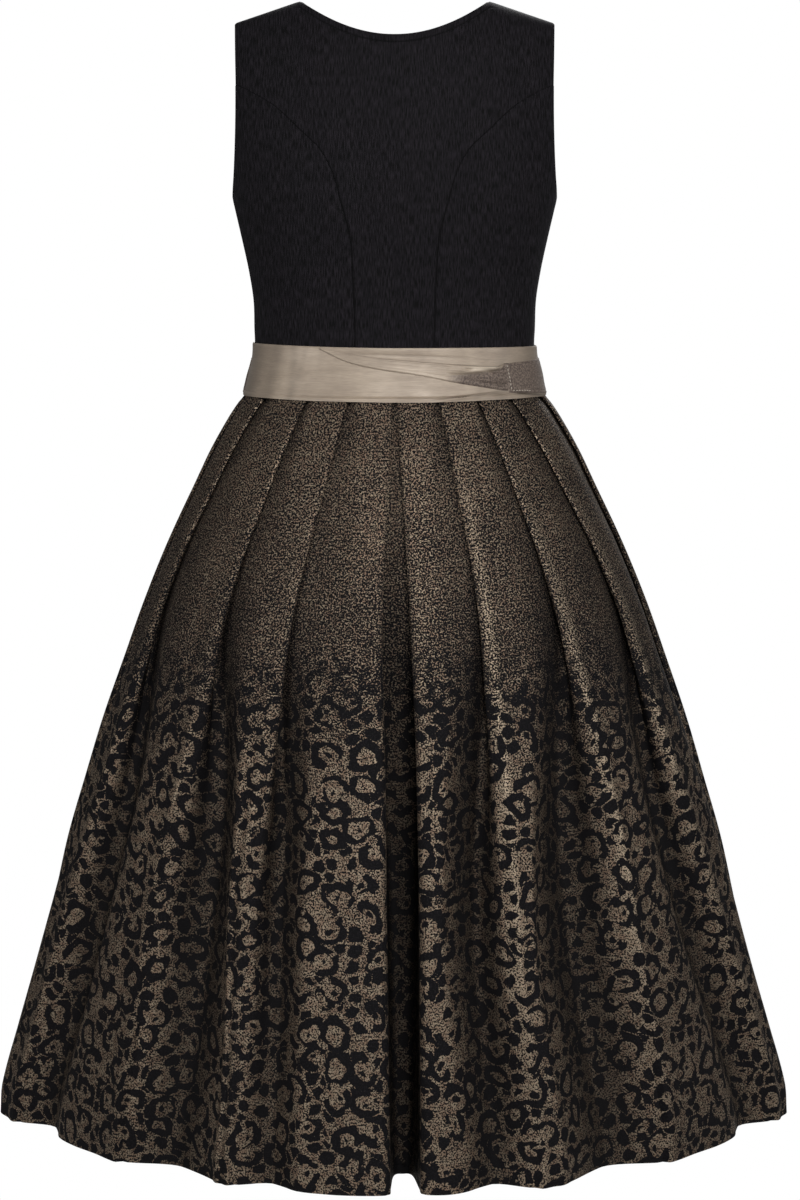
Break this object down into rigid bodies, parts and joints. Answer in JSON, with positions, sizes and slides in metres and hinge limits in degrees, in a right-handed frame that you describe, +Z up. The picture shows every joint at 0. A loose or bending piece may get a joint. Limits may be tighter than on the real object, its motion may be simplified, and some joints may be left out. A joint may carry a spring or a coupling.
{
  "type": "dirndl",
  "caption": "Sleeveless dirndl: dark fitted bodice with princess seams, taupe satin waist sash, long pleated black and bronze brocade skirt with fading spots.",
  "frame": {"origin": "midway between the two shoulder seams, on the shoulder line, where the wearer holds the dress up", "axes": "+Z up, from the hem to the shoulders; the back of the dress faces -Y and its front faces +Y; +X is the wearer's right"},
  "size_m": [0.7584, 0.6054, 1.062],
  "materials": {
    "bodice_cloth": "matt",
    "skirt_brocade": "satin",
    "sash_satin": "satin",
    "band_satin": "satin"
  },
  "bodies": {
    "root": {"bodice_back_centre": "bodice_cloth", "bodice_back_side_left": "bodice_cloth", "bodice_back_side_right": "bodice_cloth", "bodice_front_centre": "bodice_cloth", "bodice_front_side_left": "bodice_cloth", "bodice_front_side_right": "bodice_cloth", "skirt_back": "skirt_brocade", "skirt_front": "skirt_brocade", "sash_wrap": "sash_satin", "waistband_end": "band_satin", "sash_tie_gathered": "sash_satin"}
  },
  "joints": []
}
